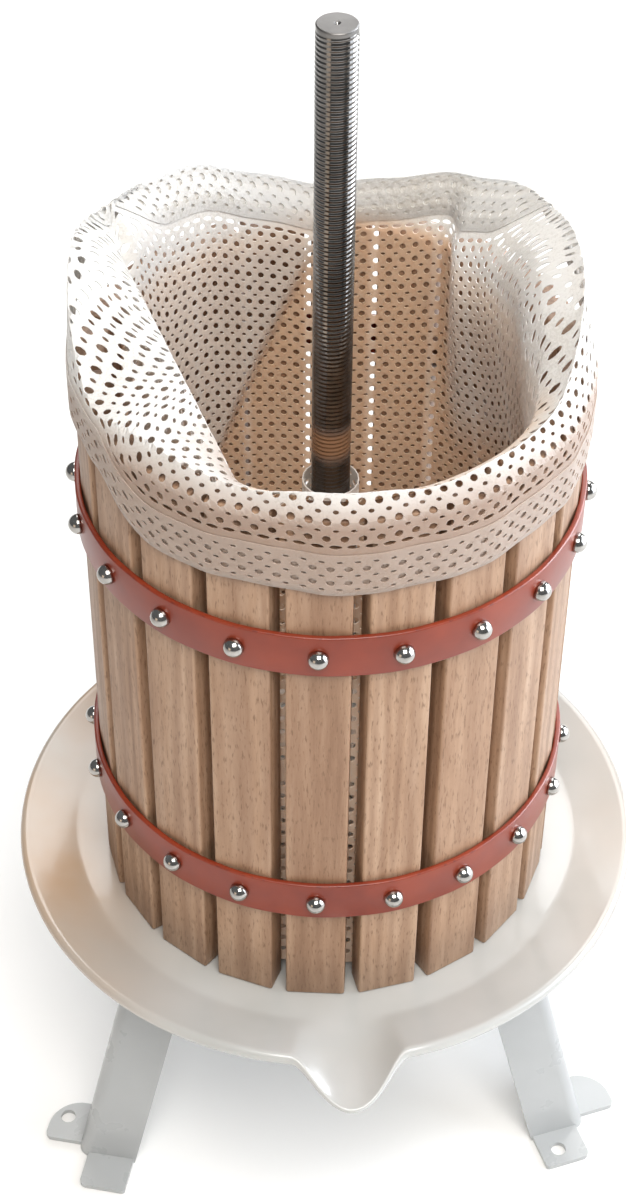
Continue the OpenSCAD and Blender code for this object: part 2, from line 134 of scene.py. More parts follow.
def new_material(name, **constants):
    """A material with its shader, whose constant sockets are set by name with spaces for underscores."""
    material = bpy.data.materials.new(name)
    material.use_nodes = True
    tree = material.node_tree
    shader = tree.nodes["Principled BSDF"]
    for key, value in constants.items():
        shader.inputs[key.replace("_", " ")].default_value = value
    return material, tree, shader


def white_enamel(name, pale, deep, roughness, painted_shade=0.0):
    """Stove enamel on steel: flows into a thick glossy skin, faintly uneven in tone and surface.

    The last argument is the strength of a painted warm shade, most towards the left side and a little at
    the right:
    the basket's shadow on the tray, lit by light bounced off the wood."""
    material, tree, shader = new_material(name, IOR=1.52, Coat_Weight=0.35, Coat_Roughness=0.08)
    place = add_node(tree, "ShaderNodeTexCoord").outputs["Object"]
    clouds = add_node(tree, "ShaderNodeTexNoise", {"Vector": place, "Scale": per_metre(70), "Detail": 3.0})
    tone = add_node(tree, "ShaderNodeValToRGB", {"Fac": clouds.outputs["Fac"]},
                    stops=((0.3, linear(deep)), (0.65, linear(pale))))
    # painted warm shade across the tray: strongest at the left, a little at the right, blotched by the
    # clouds
    side = add_node(tree, "ShaderNodeSeparateXYZ", {"Vector": place}).outputs["X"]
    across = add_node(tree, "ShaderNodeMapRange", {"Value": side, "From Min": -RIM_R*MM,
                      "From Max": RIM_R*MM})
    shade_across = add_node(tree, "ShaderNodeValToRGB", {"Fac": across.outputs["Result"]},
                      stops=((0.0, grey(painted_shade)), (0.33, grey(0)), (0.84, grey(0)), (1.0, grey(0.3*painted_shade))))
    shade_across.color_ramp.interpolation = "EASE"
    blotched_shade = add_node(tree, "ShaderNodeMath", {0: shade_across.outputs["Color"], 1: clouds.outputs["Fac"]},
                        operation="MULTIPLY")
    shaded_tone = add_node(tree, "ShaderNodeMix", {"Factor": blotched_shade.outputs["Value"],
                       "A": tone.outputs["Color"], "B": linear(PAINTED_WARM_SHADE)}, data_type="RGBA")
    tree.links.new(shaded_tone.outputs[2], shader.inputs["Base Color"])
    smears = add_node(tree, "ShaderNodeTexNoise", {"Vector": place, "Scale": per_metre(22), "Detail": 4.0})
    gloss = add_node(tree, "ShaderNodeMapRange", {"Value": smears.outputs["Fac"], "From Min": 0.3,
                     "From Max": 0.7, "To Min": roughness - 0.05, "To Max": roughness + 0.07})
    tree.links.new(gloss.outputs["Result"], shader.inputs["Roughness"])
    peel = add_node(tree, "ShaderNodeTexNoise", {"Vector": place, "Scale": per_metre(5), "Detail": 2.0})
    bump = add_node(tree, "ShaderNodeBump", {"Height": peel.outputs["Fac"], "Strength": 0.25,
                    "Distance": 0.08*MM})
    tree.links.new(bump.outputs["Normal"], shader.inputs["Normal"])
    return material


def tray_points(columns, brim_steps, roll_steps, under_steps):
    """The dish as a closed section carried round the axis.

    The section runs over the floor and the brim, round the rolled edge and back underneath. Towards the
    lip's direction a bell (one less the squared turn, squared) draws the edge outwards and presses the
    brim down."""
    turn = np.linspace(-180, 180, columns, endpoint=False)
    away = np.clip(np.abs(turn)/LIP_HALF_TURN, 0, 1)
    lip = (1 - away**2)**2
    edge_r = RIM_R + (LIP_REACH + BEAD_R - LIP_BEAD_R)*lip
    bead = BEAD_R + (LIP_BEAD_R - BEAD_R)*lip
    bend_run = BEND_R*math.sin(BRIM_SLOPE)
    slope_run = RIM_R - FLAT_R - bend_run
    full_rise = BEND_R*(1 - math.cos(BRIM_SLOPE)) + slope_run*math.tan(BRIM_SLOPE)
    edge_rise = full_rise - LIP_DROP*lip

    def brim(share):
        """Radius and height at a share of the way from the floor to the edge: a bend, then a slope."""
        run = share*(RIM_R - FLAT_R)
        in_bend = BEND_R - np.sqrt(BEND_R**2 - np.minimum(run, bend_run)**2)
        rise = in_bend + np.maximum(run - bend_run, 0)*math.tan(BRIM_SLOPE)
        return FLAT_R + share[:, None]*(edge_r - FLAT_R), (rise/full_rise)[:, None]*edge_rise

    floor_r = np.array(FLOOR_RINGS)[:, None]*np.ones(columns)
    floor_z = np.full_like(floor_r, -TRAY_SINK)
    brim_r, brim_z = brim(np.linspace(0, 1, brim_steps))
    brim_z = brim_z - TRAY_SINK*np.linspace(1, 0, brim_steps)[:, None]
    roll = np.radians(np.linspace(ROLL_FROM, ROLL_TO, roll_steps))[:, None]
    roll_r = edge_r + bead*np.cos(roll)
    roll_z = edge_rise - bead + bead*np.sin(roll)
    under_r, under_z = brim(np.linspace(UNDER_FROM, 0, under_steps))
    radius = np.concatenate([floor_r, brim_r, roll_r, under_r, floor_r[::-1]])
    height = np.concatenate([floor_z, brim_z, roll_z, under_z - TRAY_T + TRAY_SINK,
                             floor_z[::-1] - TRAY_T + 2*TRAY_SINK])
    return round_axis(np.radians(turn + LIP_TURN), radius, FLOOR_Z + height)


tray_columns = 480
tray_grid = tray_points(tray_columns, brim_steps=22, roll_steps=16, under_steps=14)
tray_faces = grid_faces(len(tray_grid), tray_columns, round_rows=True)[:, ::-1]
# the tray takes a strong painted warm shade at its left
tray_enamel = white_enamel("warm_white_stove_enamel", "#c1c1be", "#b5b5b1", roughness=0.18, painted_shade=1.15)
tray = add_piece("enamelled_tray", tray_grid, tray_faces.tolist(), tray_enamel)
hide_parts("tray")
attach(tray, "stand")

# Legs and backing plate: three angles folded from 3 mm steel sheet with their feet bent out flat, under a
# round plate that spreads the pressing load. All are painted white, greyer and duller than the tray.


def dress(names, material):
    """Puts a material on solids that keep their own shape."""
    for name in names:
        nodes[name].data.materials.clear()
        nodes[name].data.materials.append(material)


leg_enamel = white_enamel("grey_white_leg_enamel", "#afb1b1", "#a6a8a8", roughness=0.3)
dress(("leg_left", "leg_right", "leg_rear", "backing_plate"), leg_enamel)

# Fasteners under the tray: countersunk bolts with hexagon nuts hold the legs, and a large nut with washers
# draws the spindle's tail down. Bright zinc plate gives a pale blue-grey, softly mottled metal.
zinc, tree, shader = new_material("bright_zinc_plate", Metallic=1.0)
place = add_node(tree, "ShaderNodeTexCoord").outputs["Object"]
mottle = add_node(tree, "ShaderNodeTexNoise", {"Vector": place, "Scale": per_metre(3), "Detail": 3.0})
tone = add_node(tree, "ShaderNodeValToRGB", {"Fac": mottle.outputs["Fac"]},
                stops=((0.35, linear("#a9adb0")), (0.65, linear("#c6c9ca"))))
tree.links.new(tone.outputs["Color"], shader.inputs["Base Color"])
gloss = add_node(tree, "ShaderNodeMapRange", {"Value": mottle.outputs["Fac"], "To Min": 0.22,
                 "To Max": 0.42})
tree.links.new(gloss.outputs["Result"], shader.inputs["Roughness"])
dress(("leg_bolts", "leg_nuts", "upper_washer", "lower_washer", "spindle_nut"), zinc)

# Spindle: a steel bar with a rolled M20 thread over its free length and a turned-down tail for its nut.
# It is shouldered on the upper washer and drawn tight through the tray's floor.
SPINDLE_R = 10.0
THREAD_PITCH = 2.5
# shallower than a full M20 thread, because its lines are only faint in the photograph
THREAD_DEPTH = 0.45
SPINDLE_TOP_Z = 711.0
SHOULDER_Z = 193.0
TAIL_R = 8.0
TAIL_END_Z = 164.0
TAIL_CHAMFER = 1.0
SPINDLE_CHAMFER = 0.8
PLAIN_END = 1.5
PLAIN_R = 9.75
MARK_R = 1.5
MARK_EASE = 0.2
MARK_EASE_DEPTH = 0.15
MARK_TIP_R = 0.3
SAWN_DEPTH = 0.3
# heights of a painted reflection: a brown band where the polished bar mirrors the wooden inside of the
# basket
WOOD_REFLECTION_LOW_Z = 475.0
WOOD_REFLECTION_HIGH_Z = 485.0
WOOD_REFLECTION_FADE = 8.0


def tube_faces(rows, columns, turned=False):
    """Faces of a tube of rings, with a many-sided face over its first and its last ring.

    They are turned over for rings that run the other way round."""
    faces = grid_faces(rows, columns).tolist()
    faces.append(list(range(columns))[::-1])
    faces.append(list(range((rows - 1)*columns, rows*columns)))
    return [face[::-1] for face in faces] if turned else faces


def spindle_points(columns, steps_per_pitch):
    """A bar whose radius follows a helix: a straight-sided wave of the height in pitches less the turn.

    Below the shoulder the bar is the plain tail. At the top the thread runs out into a plain end, with a
    chamfer, a flat face and a small centre mark."""
    turn = np.arange(columns)/columns
    z = np.arange(SHOULDER_Z, SPINDLE_TOP_Z, THREAD_PITCH/steps_per_pitch)[:, None]
    wave = np.abs(2*np.mod(z/THREAD_PITCH - turn, 1) - 1)
    fade = np.clip((SPINDLE_TOP_Z - PLAIN_END - z)/THREAD_PITCH, 0, 1)
    thread = PLAIN_R + (SPINDLE_R - PLAIN_R - THREAD_DEPTH*(1 - wave))*fade
    chamfer = SPINDLE_R - SPINDLE_CHAMFER + np.maximum(SPINDLE_TOP_Z - z, 0)
    bar = np.minimum(thread, chamfer)
    tail_r = np.array([TAIL_R - TAIL_CHAMFER, TAIL_R, TAIL_R])[:, None]*np.ones(columns)
    tail_z = np.array([TAIL_END_Z, TAIL_END_Z + TAIL_CHAMFER, SHOULDER_Z])[:, None]
    end_r = np.array([SPINDLE_R - SPINDLE_CHAMFER, MARK_R + MARK_EASE, MARK_R, MARK_TIP_R])[:, None]
    end_z = SPINDLE_TOP_Z - np.array([0, 0, MARK_EASE_DEPTH, MARK_R - MARK_EASE])[:, None]
    radius = np.concatenate([tail_r, bar, end_r*np.ones(columns)])
    height = np.concatenate([tail_z, z, end_z])*np.ones(columns)
    return round_axis(2*math.pi*turn, radius, height)


# Rolled steel thread: burnished dark steel with a thin film of oil that mottles the shine, and a dull sawn
# end. Above the bag's sleeve a brown, less metallic band is a painted reflection of the basket's wood.
steel, tree, shader = new_material("oiled_rolled_steel")
place = add_node(tree, "ShaderNodeTexCoord").outputs["Object"]
film = add_node(tree, "ShaderNodeTexNoise", {"Vector": place, "Scale": per_metre(14), "Detail": 5.0})
tone = add_node(tree, "ShaderNodeValToRGB", {"Fac": film.outputs["Fac"]},
                stops=((0.3, linear("#6a6866")), (0.7, linear("#858381"))))
height = add_node(tree, "ShaderNodeSeparateXYZ", {"Vector": place}).outputs["Z"]
# painted reflection of the basket's wood: a brown, less metallic band that fades in at both ends
over = add_node(tree, "ShaderNodeMapRange", {"Value": height, "From Min": (WOOD_REFLECTION_LOW_Z - WOOD_REFLECTION_FADE)*MM,
                "From Max": WOOD_REFLECTION_LOW_Z*MM})
under = add_node(tree, "ShaderNodeMapRange", {"Value": height, "From Min": (WOOD_REFLECTION_HIGH_Z + WOOD_REFLECTION_FADE)*MM,
                 "From Max": WOOD_REFLECTION_HIGH_Z*MM})
wood_reflection = add_node(tree, "ShaderNodeMath", {0: over.outputs["Result"], 1: under.outputs["Result"]},
                 operation="MULTIPLY").outputs["Value"]
reflection_tone = add_node(tree, "ShaderNodeMix", {"Factor": wood_reflection, "A": tone.outputs["Color"],
                   "B": linear("#8c6a50")}, data_type="RGBA")
tree.links.new(reflection_tone.outputs[2], shader.inputs["Base Color"])
reflection_metallic = add_node(tree, "ShaderNodeMapRange", {"Value": wood_reflection, "To Min": 1.0, "To Max": 0.25})
tree.links.new(reflection_metallic.outputs["Result"], shader.inputs["Metallic"])
gloss = add_node(tree, "ShaderNodeMapRange", {"Value": film.outputs["Fac"], "To Min": 0.06, "To Max": 0.16})
sawn = add_node(tree, "ShaderNodeMapRange", {"Value": height,
                "From Min": (SPINDLE_TOP_Z - 2*SAWN_DEPTH)*MM,
                "From Max": (SPINDLE_TOP_Z - SAWN_DEPTH)*MM, "To Max": 0.5})
dull = add_node(tree, "ShaderNodeMath", {0: gloss.outputs["Result"], 1: sawn.outputs["Result"]},
                operation="ADD")
tree.links.new(dull.outputs["Value"], shader.inputs["Roughness"])

spindle_columns = 40
spindle_grid = spindle_points(spindle_columns, steps_per_pitch=8)
spindle_faces = tube_faces(len(spindle_grid), spindle_columns)
spindle = add_piece("threaded_spindle", spindle_grid, spindle_faces, steel, crease=30)
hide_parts("spindle")
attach(spindle, "stand")

# Staves: twenty flat beech slats, planed and oiled, with eased edges. They stand on the tray in a ring with
# narrow gaps for the juice, and each is screwed to both hoops.
STAVE_COUNT = 20
STAVE_TOP_Z = 532.0
STAVE_FOOT_Z = 190.3
STAVE_FACE_R = 125.85
STAVE_T = 15.0
STAVE_HALF_OUT = 15.88
STAVE_HALF_IN = 15.94
BASKET_TURN = -1.3
STAVE_EASE = 1.3
END_EASE = 1.2
STAVE_BOW = 0.25
# where in the log a slat may be cut, across, deep and along, and how its tone may differ
LOG_FROM = (-30, 20, 0)
LOG_TO = (30, 60, 900)
TONE_FROM = -0.07
TONE_TO = 0.09
stave_draws = np.random.default_rng(11)


def eased_outline(corners, first, radius, steps):
    """A closed outline with a quarter circle of the easing radius in place of each corner.

    A quarter starts in its first direction, in degrees, and turns clockwise. Its centre lies inside the
    corner by the radius, both ways."""
    first = np.radians(first)
    middle = first - math.pi/4
    centres = corners - radius*np.sign(np.stack([np.cos(middle), np.sin(middle)], axis=-1))
    angle = first[:, None] - np.linspace(0, math.pi/2, steps)
    arcs = centres[:, None, :] + radius*np.stack([np.cos(angle), np.sin(angle)], axis=-1)
    return arcs.reshape(-1, 2)


def stave_place(across, out, height, angle):
    """Places from the distances across a stave and out from the axis, for staves in these directions."""
    x = across*np.cos(angle) + out*np.sin(angle)
    y = across*np.sin(angle) - out*np.cos(angle)
    return np.stack(np.broadcast_arrays(x, y, height), axis=-1)


def stave_points(index, corner_steps, middle_rings):
    """The slat's eased trapezium carried up its length, drawn in at both ends by a rounding.

    A sine along the length bows it slightly. Returns places in the part's frame and, for the grain, places
    in the board: across, deep and along."""
    corners = np.array([[-STAVE_HALF_OUT, STAVE_FACE_R], [STAVE_HALF_OUT, STAVE_FACE_R],
                        [STAVE_HALF_IN, STAVE_FACE_R - STAVE_T], [-STAVE_HALF_IN, STAVE_FACE_R - STAVE_T]])
    section = eased_outline(corners, (180, 90, 0, -90), STAVE_EASE, corner_steps)
    length = STAVE_TOP_Z - STAVE_FOOT_Z
    ease = np.array([0, END_EASE/3, END_EASE])
    between = END_EASE + np.linspace(0, 1, middle_rings + 2)[1:-1]*(length - 2*END_EASE)
    along = np.concatenate([ease, between, length - ease[::-1]])
    pull = np.concatenate([ease[::-1], np.zeros(middle_rings), ease])
    middle = np.array([0, STAVE_FACE_R - STAVE_T/2])
    half = np.array([STAVE_HALF_OUT, STAVE_T/2])
    rings = middle + (section - middle)*(1 - pull[:, None, None]/half)
    bow = stave_draws.uniform(-STAVE_BOW, STAVE_BOW)*np.sin(math.pi*along/along[-1])
    across = rings[..., 0] + bow[:, None]
    out = rings[..., 1]
    angle = math.radians(BASKET_TURN + 360*index/STAVE_COUNT)
    place = stave_place(across, out, (STAVE_FOOT_Z + along)[:, None], angle)
    board = np.stack(np.broadcast_arrays(across, out - STAVE_FACE_R, along[:, None]), axis=-1)
    return place, board


def mark(piece, key, values):
    """Stores one value, or a value for each corner, as an attribute that the piece's material reads."""
    marks = piece.data.attributes.new(key, "FLOAT", "POINT")
    marks.data.foreach_set("value", np.broadcast_to(np.ravel(values), len(marks.data)).astype(np.float32))


# Oiled beech: pinkish tan, with short dark flecks, faint growth bands and a dull sheen. Each slat has its
# own cut, so the grain follows a board attribute in metres, moved to a new spot of the log for every slat.
beech, tree, shader = new_material("oiled_beech", IOR=1.5)
board = add_node(tree, "ShaderNodeAttribute", attribute_name="board").outputs["Vector"]
board_tone = add_node(tree, "ShaderNodeAttribute", attribute_name="board_tone").outputs["Fac"]
bands_place = add_node(tree, "ShaderNodeMapping", {"Vector": board,
                       "Scale": (per_metre(8), per_metre(8), per_metre(110))})
bands = add_node(tree, "ShaderNodeTexNoise", {"Vector": bands_place.outputs["Vector"], "Scale": 1.0,
                 "Detail": 6.0, "Roughness": 0.72})
toned = add_node(tree, "ShaderNodeMath", {0: bands.outputs["Fac"], 1: board_tone}, operation="ADD")
tone = add_node(tree, "ShaderNodeValToRGB", {"Fac": toned.outputs["Value"]},
                stops=((0.25, linear("#8e6b51")), (0.5, linear("#a58368")), (0.75, linear("#b99a80"))))
# growth rings 5 mm apart: the wave repeats every pi/10 of its own scale
rings_place = add_node(tree, "ShaderNodeMapping", {"Vector": board, "Scale": (1.0, 1.0, 0.09)})
rings = add_node(tree, "ShaderNodeTexWave", {"Vector": rings_place.outputs["Vector"],
                 "Scale": per_metre(5)*math.pi/10, "Distortion": 3.0, "Detail": 2.0, "Detail Scale": 1.2},
                 wave_type="RINGS", rings_direction="Z")
ringed = add_node(tree, "ShaderNodeMix", {"Factor": 0.18, "A": tone.outputs["Color"],
                  "B": rings.outputs["Color"]}, data_type="RGBA", blend_type="SOFT_LIGHT")
flecks_place = add_node(tree, "ShaderNodeMapping", {"Vector": board,
                        "Scale": (per_metre(1.1), per_metre(1.1), per_metre(6))})
flecks = add_node(tree, "ShaderNodeTexNoise", {"Vector": flecks_place.outputs["Vector"], "Scale": 1.0,
                  "Detail": 2.0})
fleck_mask = add_node(tree, "ShaderNodeMapRange", {"Value": flecks.outputs["Fac"], "From Min": 0.56,
                      "From Max": 0.7, "To Max": 0.65})
flecked = add_node(tree, "ShaderNodeMix", {"Factor": fleck_mask.outputs["Result"], "A": ringed.outputs[2],
                   "B": linear("#715239")}, data_type="RGBA")
tree.links.new(flecked.outputs[2], shader.inputs["Base Color"])
gloss = add_node(tree, "ShaderNodeMapRange", {"Value": bands.outputs["Fac"], "To Min": 0.62,
                 "To Max": 0.42})
tree.links.new(gloss.outputs["Result"], shader.inputs["Roughness"])
bump = add_node(tree, "ShaderNodeBump", {"Height": flecks.outputs["Fac"], "Strength": 0.35,
                "Distance": 0.12*MM})
tree.links.new(bump.outputs["Normal"], shader.inputs["Normal"])

for index in range(STAVE_COUNT):
    place, board_place = stave_points(index, corner_steps=5, middle_rings=7)
    faces = tube_faces(*place.shape[:2], turned=True)
    stave = add_piece(f"beech_stave_{index + 1:02d}", place, faces, beech, crease=40)
    spot = stave_draws.uniform(LOG_FROM, LOG_TO)
    grain = stave.data.attributes.new("board", "FLOAT_VECTOR", "POINT")
    grain.data.foreach_set("vector", ((board_place + spot)*MM).astype(np.float32).ravel())
    mark(stave, "board_tone", stave_draws.uniform(TONE_FROM, TONE_TO))
    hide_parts(f"stave_{index + 1:02d}")
    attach(stave, "basket")

# Hoops: two rings of 25 by 3 mm flat steel bar, bent round the staves and painted brick red. Their edges
# are slightly rounded from rolling, and the paint is rubbed thin along them.
HOOP_R = 130.0
HOOP_T = 3.0
HOOP_H = 25.0
LOWER_HOOP_Z = 272.0
UPPER_HOOP_Z = 450.0
HOOP_EDGE_R = 0.9
HOOP_DIP = 0.12
# how far the paint is rubbed along the steps of an edge's rounding
EDGE_WEAR = (0.0, 0.7, 1.0, 0.7, 0.0)


def hoop_points(middle_z, columns):
    """A flat bar's eased section carried round the axis; a cosine lets it dip a little between the staves.

    Returns the places and how much of the edge rounding each belongs to."""
    corners = np.array([[HOOP_R, HOOP_H/2], [HOOP_R, -HOOP_H/2],
                        [HOOP_R - HOOP_T, -HOOP_H/2], [HOOP_R - HOOP_T, HOOP_H/2]])
    section = eased_outline(corners, (90, 0, -90, -180), HOOP_EDGE_R, len(EDGE_WEAR))
    angle = 2*math.pi*np.arange(columns)/columns
    dip = HOOP_DIP*np.cos(STAVE_COUNT*(angle - math.radians(BASKET_TURN)))
    radius = section[:, :1] - HOOP_DIP + dip
    height = middle_z + section[:, 1:]*np.ones(columns)
    wear = np.tile(EDGE_WEAR, len(corners))[:, None]
    return round_axis(angle, radius, height), np.broadcast_to(wear, radius.shape)


# Brick red paint over steel: an even, half-glossy skin with faint brush waviness, worn to a darker primer
# in small patches along the bar's edges.
hoop_paint, tree, shader = new_material("brick_red_hoop_paint", IOR=1.5, Coat_Weight=0.08,
                                        Coat_Roughness=0.2)
place = add_node(tree, "ShaderNodeTexCoord").outputs["Object"]
edge_wear = add_node(tree, "ShaderNodeAttribute", attribute_name="wear").outputs["Fac"]
clouds = add_node(tree, "ShaderNodeTexNoise", {"Vector": place, "Scale": per_metre(30), "Detail": 4.0})
tone = add_node(tree, "ShaderNodeValToRGB", {"Fac": clouds.outputs["Fac"]},
                stops=((0.3, linear("#762814")), (0.7, linear("#8e371d"))))
chips = add_node(tree, "ShaderNodeTexNoise", {"Vector": place, "Scale": per_metre(3.5), "Detail": 3.0})
chip_mask = add_node(tree, "ShaderNodeMapRange", {"Value": chips.outputs["Fac"], "From Min": 0.52,
                     "From Max": 0.64, "To Max": 0.7})
worn = add_node(tree, "ShaderNodeMath", {0: chip_mask.outputs["Result"], 1: edge_wear},
                operation="MULTIPLY")
painted = add_node(tree, "ShaderNodeMix", {"Factor": worn.outputs["Value"], "A": tone.outputs["Color"],
                   "B": linear("#5d241e")}, data_type="RGBA")
tree.links.new(painted.outputs[2], shader.inputs["Base Color"])
gloss = add_node(tree, "ShaderNodeMapRange", {"Value": clouds.outputs["Fac"], "To Min": 0.28,
                 "To Max": 0.46})
tree.links.new(gloss.outputs["Result"], shader.inputs["Roughness"])
bump = add_node(tree, "ShaderNodeBump", {"Height": clouds.outputs["Fac"], "Strength": 0.3,
                "Distance": 0.3*MM})
tree.links.new(bump.outputs["Normal"], shader.inputs["Normal"])

hoop_columns = 320
for name, middle_z in (("lower", LOWER_HOOP_Z), ("upper", UPPER_HOOP_Z)):
    place, wear = hoop_points(middle_z, hoop_columns)
    faces = grid_faces(len(place), hoop_columns, round_rows=True)[:, ::-1].tolist()
    hoop = add_piece(f"painted_{name}_hoop", place, faces, hoop_paint, crease=70)
    mark(hoop, "wear", wear)
    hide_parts(f"{name}_hoop")
    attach(hoop, "basket")

# Hoop screws: one round-headed screw through each hoop into each stave. The domed heads are nickel plated
# and polished, so they mirror the room in small.
HEAD_R = 5.2
HEAD_H = 6.0
HEAD_RIM = 1.4
HEAD_EASE = 0.3
DOME_EASE = 0.2
# share of the dome's angle at its last ring, which a small face closes
DOME_END = 0.04
SHANK_R = 2.4
SHANK_DEPTH = 12.0


def screw_points(middle_z, columns, dome_rings):
    """A head of revolution about each stave's outward direction: shank, flat back, short rim, then a dome.

    The dome is an arc of the circle through the rim and the top of the head."""
    dome_h = HEAD_H - HEAD_RIM
    dome_r = (HEAD_R**2 + dome_h**2)/(2*dome_h)
    rise = np.arcsin(HEAD_R/dome_r)*np.linspace(1, DOME_END, dome_rings)
    radius = np.concatenate([[SHANK_R, SHANK_R, HEAD_R - HEAD_EASE, HEAD_R, HEAD_R], dome_r*np.sin(rise)])
    reach = np.concatenate([[-SHANK_DEPTH, 0, 0, HEAD_EASE, HEAD_RIM - DOME_EASE],
                            HEAD_H - dome_r*(1 - np.cos(rise))])
    angle = np.radians(BASKET_TURN + 360*np.arange(STAVE_COUNT)/STAVE_COUNT)[:, None, None]
    spin = 2*math.pi*np.arange(columns)/columns
    across = radius[:, None]*np.cos(spin)
    out = HOOP_R + reach[:, None]*np.ones(columns)
    return stave_place(across, out, middle_z + radius[:, None]*np.sin(spin), angle)


# Polished nickel: a bright, slightly warm mirror with a faint haze.
nickel, tree, shader = new_material("polished_nickel_plate", Metallic=1.0)
place = add_node(tree, "ShaderNodeTexCoord").outputs["Object"]
haze = add_node(tree, "ShaderNodeTexNoise", {"Vector": place, "Scale": per_metre(4), "Detail": 4.0})
tone = add_node(tree, "ShaderNodeValToRGB", {"Fac": haze.outputs["Fac"]},
                stops=((0.3, linear("#a09d99")), (0.7, linear("#bdbab6"))))
tree.links.new(tone.outputs["Color"], shader.inputs["Base Color"])
gloss = add_node(tree, "ShaderNodeMapRange", {"Value": haze.outputs["Fac"], "To Min": 0.08, "To Max": 0.2})
tree.links.new(gloss.outputs["Result"], shader.inputs["Roughness"])

screw_columns = 24
for name, middle_z in (("lower", LOWER_HOOP_Z), ("upper", UPPER_HOOP_Z)):
    place = screw_points(middle_z, screw_columns, dome_rings=9)
    rows = place.shape[1]
    shift = np.arange(STAVE_COUNT)[:, None, None]*rows*screw_columns
    ring = np.arange(screw_columns)
    faces = (grid_faces(rows, screw_columns) + shift).reshape(-1, 4).tolist()
    faces += (ring[::-1] + shift[:, 0]).tolist()
    faces += (ring + (rows - 1)*screw_columns + shift[:, 0]).tolist()
    screws = add_piece(f"nickel_{name}_screws", place, faces, nickel, crease=55)
    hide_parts(f"{name}_hoop_screws")
    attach(screws, "basket")

# Net bag: a stiff white polyester net of large and small holes by turns, sewn to a bag that lines the
# basket. At the front and the sides its mouth is folded out over the staves; slack net hangs inwards at the
# left.
FLAP_R = 128.6
LINER_R = 109.7
FOLD_R = (FLAP_R + LINER_R)/2
FOLD_ROUND = 2.5
BEND_Z = STAVE_TOP_Z + 1.2
BAG_FLOOR_Z = 191.2
BAG_CORNER = 6.0
NET_T = 0.6
# directions are in degrees from the front towards the right; a span rises over its first two and falls over
# its last two
# crest: it stands up at the sides, is low and calmer in front, dips at the back and leans out at the left
BAG_STAND = 55.0
FRONT_RISE = 8.0
FRONT_SPAN = (-98, -58, 58, 98)
FRONT_CALM = 0.4
FRONT_WAVE = (2.4, 4, 95)
REAR_RISE = 24.0
REAR_HALF = 60
CREST_WAVES = ((1.5, 7, 40), (0.9, 16, 200))
CREST_OUT = 7.0
CREST_SPAN = (-122, -100, -62, -40)
# hem: it hangs in front, and is drawn up to the crest and leans in at the back
HEM_W = 25.0
HEM_LEAN = 5.0
LIFT_FROM = 84
LIFT_LEFT = 44
LIFT_RIGHT = 46
# flap: it hangs shorter at the left
FLAP_HANG = 45.0
FLAP_SHORT = 22.0
SHORT_FROM = 40
SHORT_OVER = 20
FLAP_WAVES = ((1.0, 5, 10), (0.7, 11, 70))
FLAP_RIPPLE = 0.5
RIPPLES = ((0.9, 13, 20), (0.5, 29, 80))
# slack at the left: its straight edge lies across the basket and climbs to the left, and from there the net
# comes to the wall only far down
EDGE_R = 80.0
EDGE_TURN = -65.0
EDGE_REACH = 60
EDGE_RISE = 28.0
EDGE_MIDDLE = 0.49
EDGE_CLIMB = 0.565
EDGE_SETTLE = 3
SLACK_SWELL = 1.0
SLACK_RIPPLE = 1.2
SLACK_FROM = 0.2
SLACK_TAIL = 160.0
INNER_LEAN = 16.0
LEAN_LEAST = 0.5
# crease at the back left: from a slanting line on, the net stands off the staves
CREASE_TURN = -178
CREASE_Z = 523
CREASE_SLANT = 0.242
CREASE_OVER = 7
LOOSE_END = -104
LOOSE_OVER = 10
LOOSE_FALL = 30
LOOSE_IN = 5
# drape at the right: it hangs inwards in a flat fold
DRAPE_RIGHT = 18.0
DRAPE_SPAN = (45, 95, 138, 149)
DRAPE_DEPTH = 40.0
DRAPE_TAIL = 160.0
DRAPE_RIPPLE = 0.3
# painted see-through and shade on the yarn: inside the basket the wood and its warm bounce light show
# through it, and on the flap a darker tint is painted shade. They reach up to a height over the staves;
# inside they lessen where the net hangs clear of them or spans a gap, as painted light coming through
SHOW_OVER = 14
SHOW_FADE = 18
SHOW_INSIDE = 0.8
FLAP_SHADE_SHARE = 0.85
CLEAR_FADE = 6
CLEAR_LOSS = 0.5
GAP_HALF = 1.2
GAP_FADE = 1.6
GAP_LOSS = 0.25
# colours of the painted see-through inside and of the painted shade on the flap
INSIDE_WOOD_AND_BOUNCE = "#d5a982"
FLAP_SHADE_AND_WOOD = "#94755f"
# cells of the net, and the half widths and half heights of their holes
NET_CELLS = 98
CELL_W = 7.6
CELL_H = 9.2
BIG_HOLE = (1.95, 1.95)
SMALL_HOLE = (1.4, 0.95)
# the hem's seam pulls the row of holes beside it wide
SEAM_HOLE = (2.9, 1.3)


def smooth_step(t):
    """A cubic step from 0 to 1."""
    t = np.clip(t, 0, 1)
    return t*t*(3 - 2*t)


def plateau(x, a, b, c, d):
    """A cubic step up from a to b and down again from c to d."""
    return smooth_step((x - a)/(b - a))*smooth_step((d - x)/(d - c))


def waves(turn, *parts):
    """A sum of sine waves round the axis, each its height, its count round and its start in degrees."""
    return sum(height*np.sin(np.radians(count*turn + start)) for height, count, start in parts)


def fold_rise(turn):
    """Height of the bag's crest over the staves: high at the sides, low in front, dipping at the back.

    Small waves make it uneven, as stiff net is."""
    off = np.clip(np.abs(np.abs(turn) - 180)/REAR_HALF, 0, 1)
    rear = np.cos(off*math.pi/2)**2
    front = plateau(turn, *FRONT_SPAN)
    rise = BAG_STAND - (BAG_STAND - FRONT_RISE)*front - (BAG_STAND - REAR_RISE)*rear
    uneven = (1 - FRONT_CALM*front)*waves(turn, *CREST_WAVES)
    return rise + uneven + front*np.abs(waves(turn, FRONT_WAVE))


